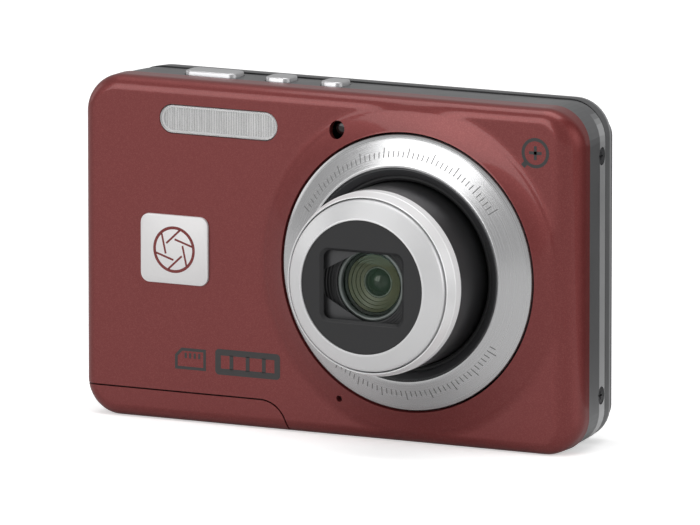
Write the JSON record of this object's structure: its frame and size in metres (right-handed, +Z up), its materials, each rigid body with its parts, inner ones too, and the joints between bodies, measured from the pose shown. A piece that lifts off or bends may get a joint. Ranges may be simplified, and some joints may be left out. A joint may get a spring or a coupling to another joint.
{
  "type": "compact digital camera",
  "caption": "Slim box camera with a red metal front, an extended zoom lens with barrier blades, sprung buttons and a battery door that slides and swings.",
  "frame": {"origin": "mouth of the tripod socket, on the base", "axes": "+Z up, +X to the right seen from the front, the lens looks along -Y"},
  "size_m": [0.091, 0.0367, 0.0578],
  "materials": {
    "red_metal": "metallic red paint under a clear coat",
    "gunmetal_frame": "satin gunmetal",
    "black_cover": "fine matt black",
    "rear_panel_metal": "satin dark grey",
    "display_glass": "black display window",
    "display_unit": "dark display panel",
    "sheet_steel": "plated sheet steel",
    "chrome_ring": "spun bright chrome",
    "dark_plastic": "dark satin plastic",
    "black_seal": "matt black rubber",
    "black_plastic": "glass-filled black plastic",
    "motor_can": "drawn steel can",
    "sensor_glass": "cover glass over a sensor",
    "circuit_board": "green solder mask",
    "badge_metal": "etched satin aluminium",
    "clear_window": "clear moulded window",
    "mirror": "polished reflector",
    "capacitor_sleeve": "shrink sleeve",
    "lamp_lens": "amber lamp lens",
    "screw_steel": "nickel-plated steel",
    "socket_metal": "turned metal thread",
    "card_plastic": "blue plastic",
    "battery_wrap": "grey wrap",
    "latch_plastic": "orange plastic",
    "switch_metal": "pressed metal domes",
    "barrel_black": "satin anodised black",
    "silver_trim": "satin silver with a bright bevel",
    "front_plate_black": "satin black",
    "coated_glass": "coated lens in a black cell",
    "blade_metal": "grey blackened steel",
    "gear_plastic": "white acetal",
    "gear_brass": "turned brass",
    "button_metal": "satin silver plating"
  },
  "bodies": {
    "camera": {"front_cover": "red_metal", "mid_frame": "gunmetal_frame", "rear_cover": "black_cover", "rear_panel": "rear_panel_metal", "lcd_window": "display_glass", "lcd_module": "display_unit", "chassis": "sheet_steel", "lens_trim_ring": "chrome_ring", "lens_surround": "dark_plastic", "lens_seal": "black_seal", "lens_base": "black_plastic", "zoom_motor": "motor_can", "image_sensor": "sensor_glass", "sensor_board": "circuit_board", "badge": "badge_metal", "flash_window": "clear_window", "flash_reflector": "mirror", "flash_tube": "clear_window", "flash_capacitor": "capacitor_sleeve", "af_lamp": "lamp_lens", "microphone": "motor_can", "speaker": "dark_plastic", "body_screws": "screw_steel", "tripod_socket": "socket_metal", "usb_socket": "sheet_steel", "strap_lug": "screw_steel", "main_board": "circuit_board", "card_slot": "sheet_steel", "memory_card": "card_plastic", "battery_bay": "black_plastic", "battery": "battery_wrap", "top_switches": "circuit_board", "rear_switches": "switch_metal"},
    "outer_tube": {"outer_barrel": "barrel_black", "outer_trim": "silver_trim"},
    "inner_tube": {"inner_barrel": "barrel_black", "inner_bezel": "silver_trim", "lens_front_plate": "front_plate_black", "front_group": "coated_glass"},
    "blade_a": {"upper_blade": "blade_metal"},
    "blade_b": {"lower_blade": "blade_metal"},
    "middle_lens": {"middle_group": "black_plastic"},
    "focus_lens": {"focus_group": "black_plastic"},
    "cam": {"cam_ring": "dark_plastic"},
    "idler": {"idler_gear": "gear_plastic"},
    "pinion": {"motor_pinion": "gear_brass"},
    "shutter": {"shutter_button": "button_metal"},
    "power": {"power_button": "button_metal"},
    "mode": {"mode_button": "button_metal"},
    "rocker": {"zoom_rocker": "button_metal"},
    "nav": {"nav_ring": "button_metal"},
    "ok": {"ok_button": "button_metal"},
    "play": {"play_button": "button_metal"},
    "record": {"record_button": "button_metal"},
    "menu": {"menu_button": "button_metal"},
    "delete": {"delete_button": "button_metal"},
    "latch": {"battery_latch": "latch_plastic"},
    "carriage": {"door_carriage": "sheet_steel"},
    "door": {"battery_door": "gunmetal_frame", "door_skin": "red_metal"}
  },
  "joints": [
    {"name": "outer_tube_slide", "type": "slide", "parent": "camera", "child": "outer_tube", "axis": [0, -1, 0], "range_m": [-0.0119, 0]},
    {"name": "inner_tube_slide", "type": "slide", "parent": "outer_tube", "child": "inner_tube", "axis": [0, -1, 0], "range_m": [-0.0018, 0]},
    {"name": "blade_a_turn", "type": "hinge", "parent": "inner_tube", "child": "blade_a", "pos_m": [0.00365, -0.02545, 0.03], "axis": [0, -1, 0], "range_deg": [-28, 0]},
    {"name": "blade_b_turn", "type": "hinge", "parent": "inner_tube", "child": "blade_b", "pos_m": [0.00365, -0.02545, 0.0274], "axis": [0, -1, 0], "range_deg": [0, 28]},
    {"name": "middle_lens_slide", "type": "slide", "parent": "camera", "child": "middle_lens", "axis": [0, -1, 0], "range_m": [-0.0092, 0]},
    {"name": "focus_lens_slide", "type": "slide", "parent": "camera", "child": "focus_lens", "axis": [0, -1, 0], "range_m": [0, 0.001]},
    {"name": "cam_turn", "type": "hinge", "parent": "camera", "child": "cam", "pos_m": [0.0156, 0.0005, 0.0287], "axis": [0, -1, 0], "range_deg": [-66, 0]},
    {"name": "idler_turn", "type": "hinge", "parent": "camera", "child": "idler", "pos_m": [0.03225, 0.0005, 0.04369], "axis": [0, -1, 0], "range_deg": [0, 270]},
    {"name": "pinion_turn", "type": "hinge", "parent": "camera", "child": "pinion", "pos_m": [0.0373, 0.0005, 0.04824], "axis": [0, -1, 0], "range_deg": [-495, 0]},
    {"name": "shutter_press", "type": "slide", "parent": "camera", "child": "shutter", "axis": [0, 0, -1], "range_m": [0, 0.0008], "stiffness_N_per_m": 1500, "springref_m": -0.0002},
    {"name": "power_press", "type": "slide", "parent": "camera", "child": "power", "axis": [0, 0, -1], "range_m": [0, 0.0004], "stiffness_N_per_m": 3000, "springref_m": -0.0001},
    {"name": "mode_press", "type": "slide", "parent": "camera", "child": "mode", "axis": [0, 0, -1], "range_m": [0, 0.0004], "stiffness_N_per_m": 3000, "springref_m": -0.0001},
    {"name": "ok_press", "type": "slide", "parent": "camera", "child": "ok", "axis": [0, -1, 0], "range_m": [0, 0.00035], "stiffness_N_per_m": 3428.6, "springref_m": -0.00009},
    {"name": "play_press", "type": "slide", "parent": "camera", "child": "play", "axis": [0, -1, 0], "range_m": [0, 0.00035], "stiffness_N_per_m": 3428.6, "springref_m": -0.00009},
    {"name": "record_press", "type": "slide", "parent": "camera", "child": "record", "axis": [0, -1, 0], "range_m": [0, 0.00035], "stiffness_N_per_m": 3428.6, "springref_m": -0.00009},
    {"name": "menu_press", "type": "slide", "parent": "camera", "child": "menu", "axis": [0, -1, 0], "range_m": [0, 0.00035], "stiffness_N_per_m": 3428.6, "springref_m": -0.00009},
    {"name": "delete_press", "type": "slide", "parent": "camera", "child": "delete", "axis": [0, -1, 0], "range_m": [0, 0.00035], "stiffness_N_per_m": 3428.6, "springref_m": -0.00009},
    {"name": "nav_tilt", "type": "hinge", "parent": "camera", "child": "nav", "pos_m": [-0.029, 0.007, 0.024], "axis": [1, 0, 0], "range_deg": [-1.2, 1.2], "stiffness_Nm_per_rad": 0.15},
    {"name": "zoom_rock", "type": "hinge", "parent": "camera", "child": "rocker", "pos_m": [-0.032, 0.0075, 0.0486], "axis": [0, 0, 1], "range_deg": [-4, 4], "stiffness_Nm_per_rad": 0.1},
    {"name": "latch_slide", "type": "slide", "parent": "camera", "child": "latch", "axis": [0, 1, 0], "range_m": [0, 0.0011], "stiffness_N_per_m": 900, "springref_m": -0.0003},
    {"name": "door_slide", "type": "slide", "parent": "camera", "child": "carriage", "axis": [-1, 0, 0], "range_m": [0, 0.0025]},
    {"name": "door_turn", "type": "hinge", "parent": "carriage", "child": "door", "pos_m": [-0.0235, 0.00285, 0.00145], "axis": [1, 0, 0], "range_deg": [0, 95]}
  ],
  "couplings": [
    {"joint": "inner_tube_slide", "follows": "outer_tube_slide", "ratio": 0.15126},
    {"joint": "blade_a_turn", "follows": "outer_tube_slide", "rad_per_m": 41.067},
    {"joint": "blade_b_turn", "follows": "outer_tube_slide", "rad_per_m": -41.067},
    {"joint": "middle_lens_slide", "follows": "outer_tube_slide", "ratio": 0.77311},
    {"joint": "cam_turn", "follows": "outer_tube_slide", "rad_per_m": 96.8},
    {"joint": "idler_turn", "follows": "outer_tube_slide", "rad_per_m": -396},
    {"joint": "pinion_turn", "follows": "outer_tube_slide", "rad_per_m": 726}
  ]
}
